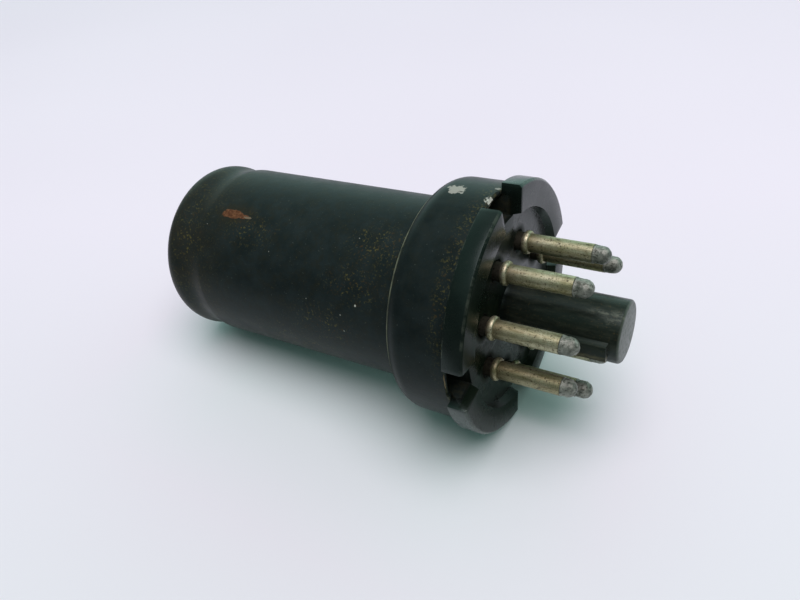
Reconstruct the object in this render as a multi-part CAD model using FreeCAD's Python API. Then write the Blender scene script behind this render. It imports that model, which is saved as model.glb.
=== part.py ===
import FreeCAD, Part
import math
import os

# All-metal octal vacuum tube, lying on its side.
# Units are mm. +X runs along the tube's axis out of the pins, +Z is up.
# X = 0 is the seat: the front face of the base's four lugs.
# Angles are measured about +X, from +Y towards +Z.

V = FreeCAD.Vector

# Outline
SEATED_HEIGHT = 52.4
PLUG_END_X = 13.7
PIN_END_X = 10.75

# Envelope
SHELL_R = 12.54
SHELL_WALL = 0.75
SHELL_FOOT_X = -10.6
FLANGE_R = 14.1
FLANGE_T = 0.8
GROOVE_X = -46.3
GROOVE_HALF = 2.5
GROOVE_DEPTH = 0.35
GROOVE_SIDE_SHARE = 0.55
CORNER_R = 3.0
CROWN_H = 0.4

# Skirt
SKIRT_R = 15.7
SKIRT_WALL = 0.6
SKIRT_TOP_X = -11.7
SHOULDER_L = 3.0
SKIRT_FIT = 0.04
LOCK_HALF_DEG = 7.5
LOCK_END_X = -4.3
LOCK_END_R = 13.15
LOCK_END_T = 0.45
LOCK_ROOT_L = 0.6
LOCK_SLOT_L = 0.5
LOCK_FOLD = 0.3
LOCK_NOSE = 0.2
LOCK_SEAT = 0.05

# Base wafer, lugs, plug and key
WAFER_R = 14.9
WAFER_BACK_X = -6.0
FLOOR_X = -1.1
LUG_R = 16.6
LUG_IN_R = 13.1
LUG_T = 2.56
LUG_HALF_DEG = 35.0
LUG_BEVEL = 0.3
NOTCH_DISC_R = 12.6
NOTCH_RIM_X = -3.5
NOTCH_FLOOR_X = -4.4
NOTCH_FLOOR_R = 13.35
PLUG_R = 3.94
PLUG_IN_R = 2.7
PLUG_WALL_END = 1.2
PLUG_EDGE = 0.45
KEY_R = 4.75
KEY_W = 2.2
KEY_END_GAP = 1.2

# Pins
PIN_COUNT = 8
PIN_PCD_R = 8.725
PIN_R = 1.18
PIN_BORE_R = 0.75
PIN_COLLAR_R = 1.52
PIN_COLLAR_X = 0.18
PIN_COLLAR_HALF = 0.42
PIN_HEEL_R = 1.6
PIN_HEEL_T = 0.5
PIN_NOSE_L = 1.9
PIN_NOSE_R = 1.02
PIN_NOSE_WALL = 0.08
SOLDER_L = 2.3
SOLDER_BACK = 0.9
FIRST_PIN_DEG = 157.5
KEY_DEG = 180.0

# Wires
WIRE_R = 0.3
WIRE_TIP_GAP = 0.7
STEM_WIRE_R = 5.6
WIRE_BEND_X = -13.5
WIRE_WELD_X = -17.9
WIRE_WELD_L = 0.5
WIRE_HEEL_GAP = 0.2
WIRE_GLASS_GAP = 0.4
SHELL_WELD_X = -14.4
SHELL_WELD_L = 0.7
TAB_WELD_GAP = 0.35

# Header and stem
HEADER_R = 14.1
HEADER_T = 0.8
HEADER_HOLE_R = 9.7
HEADER_COLLAR_R = 10.4
HEADER_COLLAR_X = -12.0
INSERT_IN_R = 8.5
INSERT_LIP_L = 0.2
GLASS_BACK_X = -11.4
GLASS_FRONT_X = -9.0
EXHAUST_R = 1.5
EXHAUST_IN_R = 1.0
EXHAUST_TIP_X = 6.0
EXHAUST_TAPER_L = 3.0
EXHAUST_NIB_L = 0.4
EXHAUST_NIB_R = 0.35
EXHAUST_SEAL_L = 1.4
CONE_BIG_R = 4.4
CONE_SMALL_R = 1.9
CONE_L = 3.6
CONE_WALL = 0.25
CONE_HOLE_R = 0.6
BASE_SHIELD_R = 4.9
BASE_SHIELD_WALL = 0.25

# Mount
MICA_R = 11.75
SHIELD_GAP = 0.85
MICA_T = 0.4
LOWER_MICA_X = -19.4
UPPER_MICA_X = -43.0
SUPPORT_R = 9.9
SUPPORT_T = 0.4
SUPPORT_W = 3.0
PLATE_A = 7.0
PLATE_B = 5.0
PLATE_T = 0.25
PLATE_FROM_X = -41.6
PLATE_TO_X = -20.6
PLATE_ROD_U = 7.25
ROD_R = 0.4
GRID_WIRE = 0.14
GRID_TURNS = 14
SUPPRESSOR_U = 5.6
SUPPRESSOR_B = 3.7
SCREEN_U = 4.2
SCREEN_B = 2.6
CONTROL_U = 2.8
CONTROL_B = 1.6
CATHODE_R = 0.75
CATHODE_WALL = 0.12
CATHODE_TAB_U = 1.9
HEATER_R = 0.16
HEATER_HALF = 0.27
HEATER_FOOT_V = 1.2
HEATER_FOOT_X = -17.4
HEATER_FOOT_L = 0.3
HEATER_EXIT = 1.2
HEATER_TOP_GAP = 1.0
CATHODE_END = 1.0
CATHODE_TAB_L = 0.5
CATHODE_TAB_W = 0.8
SPACER_SHIELD_T = 0.3
WINDOW_L = 17.0
WINDOW_W = 2.2
GETTER_RISE = 3.2
GETTER_T = 0.3
GETTER_W = 1.4
GETTER_HALF_L = 3.0
GETTER_Z = 3.0
CLEAR = 0.03

# Joining and cutting
SINK = 0.5
LAP = 0.1
OVER = 1.0
WEDGE_FROM_X = -20.0
WEDGE_L = 40.0


def ring_point(x, r, deg):
    a = math.radians(deg)
    return V(x, r * math.cos(a), r * math.sin(a))


def tube(r_out, r_in, x0, x1):
    axis = V(1, 0, 0)
    start = V(x0, 0, 0)
    solid = Part.makeCylinder(r_out, x1 - x0, start, axis)
    if r_in > 0:
        solid = solid.cut(Part.makeCylinder(r_in, x1 - x0, start, axis))
    return solid


def rod(r, x0, x1, y, z):
    return Part.makeCylinder(r, x1 - x0, V(x0, y, z), V(1, 0, 0))


def turned(edges):
    wire = Part.Wire(edges)
    face = Part.Face(wire)
    return face.revolve(V(0, 0, 0), V(1, 0, 0), 360)


def xr(pair):
    return V(pair[0], pair[1], 0)


def lines(pairs):
    edges = []
    for a, b in zip(pairs[:-1], pairs[1:]):
        edges.append(Part.makeLine(xr(a), xr(b)))
    return edges


def arc(a, mid, b):
    return Part.Arc(xr(a), xr(mid), xr(b)).toShape()


def spline(pairs):
    curve = Part.BSplineCurve()
    curve.interpolate([xr(p) for p in pairs])
    return curve.toShape()


def crown_middle(apex_x, rim_r):
    # Half-way point of the shallow spherical crown, which is centred on the axis.
    ball_r = (rim_r * rim_r + CROWN_H * CROWN_H) / (2 * CROWN_H)
    half = math.asin(rim_r / ball_r) / 2
    return (apex_x + ball_r - ball_r * math.cos(half), ball_r * math.sin(half))


def envelope_side(offset):
    # Half profile from the foot to the apex, moved inwards by the offset.
    r = SHELL_R - offset
    groove = GROOVE_DEPTH
    x_groove_in = GROOVE_X + GROOVE_HALF
    x_groove_out = GROOVE_X - GROOVE_HALF
    apex_x = -SEATED_HEIGHT + offset
    crown_x = apex_x + CROWN_H
    corner = CORNER_R - offset
    corner_x = crown_x + corner
    corner_r = r - corner
    k = math.sqrt(0.5)
    dip = GROOVE_SIDE_SHARE * groove
    body = [
        (x_groove_in, r),
        (GROOVE_X + GROOVE_HALF / 2, r - dip),
        (GROOVE_X, r - groove),
        (GROOVE_X - GROOVE_HALF / 2, r - dip),
        (x_groove_out, r),
    ]
    corner_mid = (corner_x - corner * k, corner_r + corner * k)
    corner_end = (crown_x, corner_r)
    edges = [spline(body)]
    edges += lines([(x_groove_out, r), (corner_x, r)])
    edges.append(arc((corner_x, r), corner_mid, corner_end))
    edges.append(arc(corner_end, crown_middle(apex_x, corner_r), (apex_x, 0)))
    return edges, (x_groove_in, r), (apex_x, 0)


def metal_envelope():
    outer, outer_start, outer_apex = envelope_side(0.0)
    inner, inner_start, inner_apex = envelope_side(SHELL_WALL)
    r_in = SHELL_R - SHELL_WALL
    foot = SHELL_FOOT_X
    rim = foot + FLANGE_T
    edges = outer + inner
    edges += lines([outer_apex, inner_apex])
    edges += lines([outer_start, (foot, SHELL_R), (foot, FLANGE_R), (rim, FLANGE_R), (rim, r_in)])
    edges += lines([(rim, r_in), inner_start])
    return turned(Part.__sortEdges__(edges))


def skirt_lock(deg):
    # A lock is a piece of the skirt's rim, bent inwards and down into the wafer's notch.
    r_in = SKIRT_R - SKIRT_WALL
    root_x = NOTCH_RIM_X - LOCK_ROOT_L
    fold_x = -LUG_T - LOCK_FOLD
    outside = [
        (root_x, SKIRT_R),
        (fold_x, SKIRT_R),
        (fold_x + LOCK_NOSE, SKIRT_R - LOCK_FOLD),
        (LOCK_END_X + LOCK_END_T, LOCK_END_R),
    ]
    inside = [
        (LOCK_END_X, LOCK_END_R + LOCK_NOSE),
        (NOTCH_RIM_X + LOCK_SEAT, r_in - LOCK_SEAT),
        (NOTCH_RIM_X - 2 * LOCK_SEAT, r_in),
        (root_x, r_in),
        (root_x, SKIRT_R),
    ]
    block = turned(lines(outside + inside))
    return block.common(wedge(deg, LOCK_HALF_DEG, SKIRT_R + OVER))


def wedge(deg, half_deg, r):
    # A sector of a thick disc, wide enough to cut everything near the base.
    a = ring_point(WEDGE_FROM_X, 0, 0)
    b = ring_point(WEDGE_FROM_X, 2 * r, deg - half_deg)
    c = ring_point(WEDGE_FROM_X, 2 * r, deg + half_deg)
    face = Part.Face(Part.makePolygon([a, b, c, a]))
    return face.extrude(V(WEDGE_L, 0, 0))


def header_skirt():
    r_lip = SHELL_R + SKIRT_FIT
    r_in = SKIRT_R - SKIRT_WALL
    x0 = SKIRT_TOP_X
    x1 = SKIRT_TOP_X + SHOULDER_L
    rim = -LUG_T
    k = math.sqrt(0.5)
    step = SKIRT_R - r_lip
    inner_step = r_in - r_lip
    x_in = x0 + SKIRT_WALL
    outer_mid = (x1 - SHOULDER_L * k, r_lip + step * k)
    inner_mid = (x1 - (x1 - x_in) * k, r_lip + inner_step * k)
    edges = [arc((x0, r_lip), outer_mid, (x1, SKIRT_R))]
    edges += lines([(x1, SKIRT_R), (rim, SKIRT_R), (rim, r_in), (x1, r_in)])
    edges.append(arc((x1, r_in), inner_mid, (x_in, r_lip)))
    edges += lines([(x_in, r_lip), (x0, r_lip)])
    skirt = turned(edges)
    for i in range(4):
        deg = 90.0 * i
        gap = wedge(deg, LOCK_HALF_DEG, SKIRT_R + OVER)
        above = tube(SKIRT_R + OVER, SHELL_R + OVER, NOTCH_RIM_X - LOCK_SLOT_L, OVER)
        skirt = skirt.cut(gap.common(above))
        skirt = skirt.fuse(skirt_lock(deg))
    return skirt.removeSplitter()


def lug(deg):
    block = tube(LUG_R, LUG_IN_R, -LUG_T, 0.0)
    outer_edges = [e for e in block.Edges if is_rim_edge(e)]
    block = block.makeChamfer(LUG_BEVEL, outer_edges)
    return block.common(wedge(deg, LUG_HALF_DEG, LUG_R + OVER))


def is_rim_edge(edge):
    if not hasattr(edge.Curve, "Radius"):
        return False
    at_front = abs(edge.BoundBox.XMax) < 1e-6 and edge.BoundBox.XLength < 1e-6
    return at_front and abs(edge.Curve.Radius - LUG_R) < 1e-6


def plug_body():
    end = PLUG_END_X
    k = math.sqrt(0.5)
    e = PLUG_EDGE
    mid = (end - e + e * k, PLUG_R - e + e * k)
    edges = lines([(FLOOR_X - SINK, 0), (FLOOR_X - SINK, PLUG_R), (end - e, PLUG_R)])
    edges.append(arc((end - e, PLUG_R), mid, (end, PLUG_R - e)))
    edges += lines([(end, PLUG_R - e), (end, 0), (FLOOR_X - SINK, 0)])
    return turned(edges)


def key_bar():
    start = FLOOR_X - SINK
    length = PLUG_END_X - KEY_END_GAP - start
    bar = Part.makeBox(length, KEY_R, KEY_W, V(start, 0, -KEY_W / 2))
    bar.rotate(V(0, 0, 0), V(1, 0, 0), KEY_DEG)
    return bar


def wafer_body():
    # The disc, its step and the sloping floor that shows in the four notches.
    profile = [
        (WAFER_BACK_X, 0),
        (WAFER_BACK_X, WAFER_R),
        (NOTCH_RIM_X - LOCK_SEAT, WAFER_R),
        (NOTCH_FLOOR_X, NOTCH_FLOOR_R),
        (NOTCH_FLOOR_X, NOTCH_DISC_R),
        (FLOOR_X, NOTCH_DISC_R),
        (FLOOR_X, 0),
        (WAFER_BACK_X, 0),
    ]
    return turned(lines(profile))


def lug_root(deg):
    # Fills the notch's depth under a lug.
    inner = NOTCH_DISC_R - OVER
    block = tube(WAFER_R, inner, NOTCH_FLOOR_X - SINK, -LUG_T + LAP)
    wall = tube(LUG_IN_R + LAP, inner, -LUG_T, FLOOR_X)
    return block.fuse(wall).common(wedge(deg, LUG_HALF_DEG, LUG_R + OVER))


def octal_base():
    base = wafer_body()
    for i in range(4):
        deg = 45.0 + 90.0 * i
        base = base.fuse(lug_root(deg))
        base = base.fuse(lug(deg))
    base = base.fuse(plug_body())
    base = base.fuse(key_bar())
    hollow_end = PLUG_END_X - PLUG_WALL_END
    base = base.cut(tube(PLUG_IN_R, 0, WAFER_BACK_X - OVER, hollow_end))
    for n in range(1, PIN_COUNT + 1):
        spot = ring_point(WAFER_BACK_X - OVER, PIN_PCD_R, pin_deg(n))
        hole = Part.makeCylinder(PIN_R, FLOOR_X - WAFER_BACK_X + 2 * OVER, spot, V(1, 0, 0))
        base = base.cut(hole)
    return base.removeSplitter()


def pin_deg(n):
    return FIRST_PIN_DEG - 360.0 / PIN_COUNT * (n - 1)


def place_on_circle(solid, n):
    spot = ring_point(0, PIN_PCD_R, pin_deg(n))
    solid.translate(spot)
    return solid


def base_pin(n):
    # The collar stands just clear of the wafer's floor and the heel is spread behind the wafer.
    collar_back = PIN_COLLAR_X - PIN_COLLAR_HALF
    collar_front = PIN_COLLAR_X + PIN_COLLAR_HALF
    tube_end = PIN_END_X - SOLDER_L
    nose_end = tube_end + PIN_NOSE_L
    nose_r = PIN_BORE_R + PIN_NOSE_WALL
    heel_x = WAFER_BACK_X - PIN_HEEL_T
    edges = lines([
        (collar_back, PIN_R),
        (WAFER_BACK_X, PIN_R),
        (WAFER_BACK_X, PIN_HEEL_R),
        (heel_x, PIN_HEEL_R),
        (heel_x, PIN_BORE_R),
        (nose_end, PIN_BORE_R),
        (nose_end, nose_r),
        (tube_end, PIN_NOSE_R),
        (tube_end, PIN_R),
        (collar_front, PIN_R),
    ])
    edges.append(arc((collar_front, PIN_R), (PIN_COLLAR_X, PIN_COLLAR_R), (collar_back, PIN_R)))
    return place_on_circle(turned(edges), n)


def pin_solder(n):
    # Solder covers the pin's nose, rounds off the tip and fills the end of the bore.
    start = PIN_END_X - SOLDER_L
    nose_end = start + PIN_NOSE_L
    nose_r = PIN_BORE_R + PIN_NOSE_WALL
    dome_x = PIN_END_X - PIN_R
    k = math.sqrt(0.5)
    wire_end = PIN_END_X - WIRE_TIP_GAP
    fill = nose_end - SOLDER_BACK
    edges = [arc((dome_x, PIN_R), (dome_x + PIN_R * k, PIN_R * k), (PIN_END_X, 0))]
    edges += lines([
        (PIN_END_X, 0),
        (wire_end, 0),
        (wire_end, WIRE_R),
        (fill, WIRE_R),
        (fill, PIN_BORE_R),
        (nose_end, PIN_BORE_R),
        (nose_end, nose_r),
        (start, PIN_NOSE_R),
        (start, PIN_R),
        (dome_x, PIN_R),
    ])
    return place_on_circle(turned(edges), n)


def wire_path(points, r):
    # Round wire with a ball at each bend.
    solid = None
    for a, b in zip(points[:-1], points[1:]):
        leg = Part.makeCylinder(r, a.distanceToPoint(b), a, b - a)
        solid = leg if solid is None else solid.fuse(leg)
    for p in points[1:-1]:
        solid = solid.fuse(Part.makeSphere(r, p))
    return solid.removeSplitter()


def straight_end(u, v, end_x):
    return [V(end_x + WIRE_WELD_L, u, v), V(end_x, u, v)]


def wire_end_points(n):
    ends = {
        1: [V(SHELL_WELD_X, -SUPPORT_R + SHELL_WELD_L, 0), V(SHELL_WELD_X, -SUPPORT_R, 0)],
        2: straight_end(0, HEATER_FOOT_V, HEATER_FOOT_X),
        3: straight_end(SUPPRESSOR_U, 0, WIRE_WELD_X),
        4: straight_end(CONTROL_U, 0, WIRE_WELD_X),
        5: straight_end(CATHODE_TAB_U - TAB_WELD_GAP, 0, WIRE_WELD_X),
        6: straight_end(SCREEN_U, 0, WIRE_WELD_X),
        7: straight_end(0, -HEATER_FOOT_V, HEATER_FOOT_X),
        8: straight_end(-PLATE_ROD_U, 0, WIRE_WELD_X),
    }
    return ends[n]


def lead_wire(n):
    deg = pin_deg(n)
    tip = PIN_END_X - WIRE_TIP_GAP
    path = [
        ring_point(tip, PIN_PCD_R, deg),
        ring_point(WAFER_BACK_X - PIN_HEEL_T - WIRE_HEEL_GAP, PIN_PCD_R, deg),
        ring_point(GLASS_FRONT_X + WIRE_GLASS_GAP, STEM_WIRE_R, deg),
        ring_point(WIRE_BEND_X, STEM_WIRE_R, deg),
    ]
    return wire_path(path + wire_end_points(n), WIRE_R)


def header():
    x0 = SHELL_FOOT_X + FLANGE_T
    disc = tube(HEADER_R, HEADER_HOLE_R, x0, x0 + HEADER_T)
    collar = tube(HEADER_COLLAR_R, HEADER_HOLE_R, HEADER_COLLAR_X, x0 + HEADER_T)
    return disc.fuse(collar).removeSplitter()


def header_insert():
    return tube(HEADER_HOLE_R, INSERT_IN_R, GLASS_BACK_X - INSERT_LIP_L, GLASS_FRONT_X)


def glass_stem():
    glass = tube(INSERT_IN_R, EXHAUST_IN_R, GLASS_BACK_X, GLASS_FRONT_X)
    for n in range(1, PIN_COUNT + 1):
        spot = ring_point(GLASS_BACK_X - OVER, STEM_WIRE_R, pin_deg(n))
        hole = Part.makeCylinder(WIRE_R, GLASS_FRONT_X - GLASS_BACK_X + 2 * OVER, spot, V(1, 0, 0))
        glass = glass.cut(hole)
    return glass


def exhaust_tube():
    # The tube is drawn to a point where it was sealed off.
    shoulder = EXHAUST_TIP_X - EXHAUST_TAPER_L
    return turned(lines([
        (GLASS_FRONT_X, EXHAUST_IN_R),
        (GLASS_FRONT_X, EXHAUST_R),
        (shoulder, EXHAUST_R),
        (EXHAUST_TIP_X - EXHAUST_NIB_L, EXHAUST_NIB_R),
        (EXHAUST_TIP_X, 0),
        (EXHAUST_TIP_X - EXHAUST_SEAL_L, 0),
        (shoulder, EXHAUST_IN_R),
        (GLASS_FRONT_X, EXHAUST_IN_R),
    ]))


def conical_stem_shield():
    base_x = GLASS_BACK_X
    top_x = base_x - CONE_L
    t = CONE_WALL
    return turned(lines([
        (base_x, CONE_BIG_R - t),
        (base_x, CONE_BIG_R),
        (top_x, CONE_SMALL_R),
        (top_x, CONE_HOLE_R),
        (top_x + t, CONE_HOLE_R),
        (top_x + t, CONE_SMALL_R - t),
        (base_x, CONE_BIG_R - t),
    ]))


def cylindrical_base_shield():
    inner = BASE_SHIELD_R - BASE_SHIELD_WALL
    return tube(BASE_SHIELD_R, inner, GLASS_FRONT_X, WAFER_BACK_X)


def support_box(side, grow):
    # Flat strip on one side of the electrodes, from the header's collar to the upper mica.
    y = SUPPORT_R if side > 0 else -SUPPORT_R - SUPPORT_T
    length = HEADER_COLLAR_X - UPPER_MICA_X + MICA_T
    width = SUPPORT_W + 2 * grow
    thick = SUPPORT_T + 2 * grow
    return Part.makeBox(length, thick, width, V(UPPER_MICA_X - MICA_T, y - grow, -width / 2))


def mount_support(side):
    return support_box(side, 0.0)


def mica_with_holes(x):
    mica = tube(MICA_R, 0, x, x + MICA_T)
    holes = [support_box(1, CLEAR), support_box(-1, CLEAR)]
    for u in (SUPPRESSOR_U, SCREEN_U, CONTROL_U, PLATE_ROD_U):
        holes += side_rods(u, x - OVER, x + OVER)
    holes.append(rod(CATHODE_R, x - OVER, x + OVER, 0, 0))
    for hole in holes:
        mica = mica.cut(hole)
    return mica


def lower_spacer():
    return mica_with_holes(LOWER_MICA_X)


def upper_spacer():
    return mica_with_holes(UPPER_MICA_X)


def spacer_shield():
    # Metal disc behind the upper mica, cut away around the rods.
    x1 = UPPER_MICA_X
    disc = tube(MICA_R - SHIELD_GAP, 0, x1 - SPACER_SHIELD_T, x1)
    corner = V(x1 - OVER, -WINDOW_L / 2, -WINDOW_W / 2)
    window = Part.makeBox(2 * OVER, WINDOW_L, WINDOW_W, corner)
    disc = disc.cut(window)
    for side in (1, -1):
        disc = disc.cut(support_box(side, CLEAR))
    return disc


def ellipse_sheet(a, b, t, x0, x1):
    outer = Part.Ellipse(V(0, 0, 0), a, b).toShape()
    inner = Part.Ellipse(V(0, 0, 0), a - t, b - t).toShape()
    solid = Part.Face(Part.Wire(outer)).extrude(V(0, 0, x1 - x0))
    solid = solid.cut(Part.Face(Part.Wire(inner)).extrude(V(0, 0, x1 - x0)))
    # Turn the ellipse so that its long axis lies along Y and its length along X.
    solid.rotate(V(0, 0, 0), V(0, 0, 1), 90)
    solid.rotate(V(0, 0, 0), V(0, 1, 0), 90)
    solid.translate(V(x0, 0, 0))
    return solid


def side_rods(u, x0, x1):
    return [rod(ROD_R, x0, x1, u, 0), rod(ROD_R, x0, x1, -u, 0)]


def plate():
    sheet = ellipse_sheet(PLATE_A, PLATE_B, PLATE_T, PLATE_FROM_X, PLATE_TO_X)
    for bar in side_rods(PLATE_ROD_U, UPPER_MICA_X, WIRE_WELD_X):
        sheet = sheet.fuse(bar)
    return sheet.removeSplitter()


def grid(u, b):
    # Turns of fine wire on two side rods.
    bars = side_rods(u, UPPER_MICA_X, WIRE_WELD_X)
    solid = bars[0].fuse(bars[1])
    pitch = (PLATE_TO_X - PLATE_FROM_X) / GRID_TURNS
    turns = []
    for i in range(GRID_TURNS):
        x = PLATE_FROM_X + (i + 0.5) * pitch
        turns.append(ellipse_sheet(u, b, GRID_WIRE, x, x + GRID_WIRE))
    return solid.fuse(turns).removeSplitter()


def cathode():
    end_x = LOWER_MICA_X + MICA_T + CATHODE_END
    sleeve = tube(CATHODE_R, CATHODE_R - CATHODE_WALL, UPPER_MICA_X, end_x)
    inner_y = CATHODE_R - CATHODE_WALL / 2
    corner = V(WIRE_WELD_X - CATHODE_TAB_L, inner_y, -CATHODE_TAB_W / 2)
    tab = Part.makeBox(CATHODE_TAB_L, CATHODE_TAB_U - inner_y, CATHODE_TAB_W, corner)
    return sleeve.fuse(tab).removeSplitter()


def heater():
    top_x = PLATE_FROM_X + HEATER_TOP_GAP
    h = HEATER_HALF
    exit_x = LOWER_MICA_X + MICA_T + HEATER_EXIT
    foot_x = HEATER_FOOT_X - HEATER_FOOT_L
    path = [
        V(HEATER_FOOT_X, 0, -HEATER_FOOT_V),
        V(foot_x, 0, -HEATER_FOOT_V),
        V(exit_x, 0, -h),
        V(top_x, 0, -h),
        V(top_x, 0, h),
        V(exit_x, 0, h),
        V(foot_x, 0, HEATER_FOOT_V),
        V(HEATER_FOOT_X, 0, HEATER_FOOT_V),
    ]
    return wire_path(path, HEATER_R)


def getter():
    # A bent strip that stands on the spacer shield, clear of the window for the rods.
    top_x = UPPER_MICA_X - SPACER_SHIELD_T - GETTER_RISE
    t = GETTER_T
    half = GETTER_HALF_L
    bar = Part.makeBox(t, 2 * half, GETTER_W, V(top_x, -half, GETTER_Z))
    legs = []
    for y in (-half, half - t):
        legs.append(Part.makeBox(GETTER_RISE, t, GETTER_W, V(top_x, y, GETTER_Z)))
    return bar.fuse(legs).removeSplitter()


def write(name, solid):
    if len(solid.Solids) == 1:
        solid = solid.Solids[0]
    solid.exportStep(os.path.join("parts", name + ".step"))
    print(name, solid.isValid(), len(solid.Solids), round(solid.Volume, 2))


def main():
    os.makedirs("parts", exist_ok=True)
    write("metal_envelope", metal_envelope())
    write("header_skirt", header_skirt())
    write("octal_base", octal_base())
    for n in range(1, PIN_COUNT + 1):
        write("base_pin_" + str(n), base_pin(n))
        write("pin_solder_" + str(n), pin_solder(n))
        write("lead_wire_" + str(n), lead_wire(n))
    write("header", header())
    write("header_insert", header_insert())
    write("glass_stem", glass_stem())
    write("exhaust_tube", exhaust_tube())
    write("conical_stem_shield", conical_stem_shield())
    write("cylindrical_base_shield", cylindrical_base_shield())
    write("lower_spacer", lower_spacer())
    write("upper_spacer", upper_spacer())
    write("spacer_shield", spacer_shield())
    write("mount_support_left", mount_support(-1))
    write("mount_support_right", mount_support(1))
    write("plate", plate())
    write("suppressor_grid", grid(SUPPRESSOR_U, SUPPRESSOR_B))
    write("screen_grid", grid(SCREEN_U, SCREEN_B))
    write("control_grid", grid(CONTROL_U, CONTROL_B))
    write("cathode", cathode())
    write("heater", heater())
    write("getter", getter())


main()
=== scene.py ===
import bpy
import bmesh
import math
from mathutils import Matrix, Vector, noise


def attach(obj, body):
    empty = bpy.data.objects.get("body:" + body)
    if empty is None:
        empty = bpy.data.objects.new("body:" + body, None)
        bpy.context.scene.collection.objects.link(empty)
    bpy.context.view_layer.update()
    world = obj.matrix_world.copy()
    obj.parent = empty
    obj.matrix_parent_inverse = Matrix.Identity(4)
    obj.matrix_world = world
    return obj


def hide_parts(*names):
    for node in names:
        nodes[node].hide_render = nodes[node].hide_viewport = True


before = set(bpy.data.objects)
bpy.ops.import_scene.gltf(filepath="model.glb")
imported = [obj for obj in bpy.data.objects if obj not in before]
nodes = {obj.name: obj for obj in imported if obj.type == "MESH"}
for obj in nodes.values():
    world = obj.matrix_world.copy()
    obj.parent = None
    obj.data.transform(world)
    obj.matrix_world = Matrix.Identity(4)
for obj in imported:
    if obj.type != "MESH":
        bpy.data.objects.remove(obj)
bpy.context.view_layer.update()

# All sizes below are in mm; M turns them into metres. X runs along the tube's axis out
# of the pins, and X = 0 is the front face of the lugs. Angles are in degrees about X,
# from +Y towards +Z.
M = 0.001

# Envelope
SHELL_R = 12.54
SHELL_WALL = 0.75
APEX_X = -52.4
CROWN_H = 0.4
CORNER_R = 3.0
GROOVE_X = -46.3
GROOVE_HALF = 2.5
GROOVE_DEPTH = 0.35
GROOVE_POWER = 1.5
GROOVE_STEPS = 24
CROWN_STEPS = 12
SHELL_FOOT_X = -10.6
FLANGE_R = 14.1
FLANGE_FRONT_X = -9.8

# Skirt
SKIRT_R = 15.7
SKIRT_WALL = 0.6
SKIRT_TOP_X = -11.7
SHOULDER_L = 3.0
SKIRT_LIP_R = 12.58
SKIRT_RIM_X = -3.3
SKIRT_RIM_BACK_X = -3.8
LOCK_HALF_DEG = 7.5
LOCK_EDGE_DEG = 0.45
LOCK_FADE_DEG = 0.7
TORN_EDGE = 0.09

# Base
WAFER_R = 14.9
WAFER_BACK_X = -6.0
FLOOR_X = -1.1
LUG_R = 16.6
LUG_IN_R = 13.1
LUG_FOOT_R = 12.75
LUG_T = 2.56
LUG_HALF_DEG = 35.0
LUG_BEVEL = 0.3
DISC_R = 12.6
FLOOR_RING_R = 8.0
NOTCH_RIM_X = -3.5
NOTCH_FLOOR_X = -4.4
NOTCH_FLOOR_R = 13.35
PLUG_R = 3.94
PLUG_IN_R = 2.7
PLUG_END_X = 13.7
PLUG_WALL_END = 1.2
PLUG_EDGE = 0.45
KEY_R = 4.75
KEY_W = 2.2
KEY_END_X = 12.5
KEY_DEG = 180.0
KEY_SINK = 0.8
KEY_ROOT_L = 0.5
SOFT_EDGE = 0.11

# Pins
PIN_COUNT = 8
PIN_STEP_DEG = 45.0
PIN_CIRCLE_R = 8.725
PIN_R = 1.18
PIN_BORE_R = 0.75
PIN_COLLAR_R = 1.52
PIN_COLLAR_X = 0.18
PIN_COLLAR_HALF = 0.42
PIN_HEEL_R = 1.6
PIN_HEEL_T = 0.5
PIN_END_X = 10.75
SOLDER_L = 2.3
SOLDER_INSET = 0.01
SOLDER_EDGE = 0.08
SOLDER_EDGE_R = 0.06
FIRST_PIN_DEG = 157.5
HOLE_GAP = 0.04
HOLE_FLARE = 0.28
HOLE_MARGIN = 0.05
HOLE_TOP = 0.6

# Points round one turn
SHELL_STEPS = 144
PIN_STEPS = 48
HOLE_STEPS = 32


def pin_deg(n):
    return FIRST_PIN_DEG - PIN_STEP_DEG * (n - 1)


def pin_centre(n):
    a = math.radians(pin_deg(n))
    return PIN_CIRCLE_R * math.cos(a), PIN_CIRCLE_R * math.sin(a)


def at(x, r, deg):
    a = math.radians(deg)
    return Vector((x, r * math.cos(a), r * math.sin(a))) * M


# ---------------------------------------------------------------- materials

def srgb(r, g, b):
    def linear(v):
        v /= 255.0
        return v / 12.92 if v <= 0.04045 else ((v + 0.055) / 1.055) ** 2.4
    return (linear(r), linear(g), linear(b), 1.0)


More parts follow.
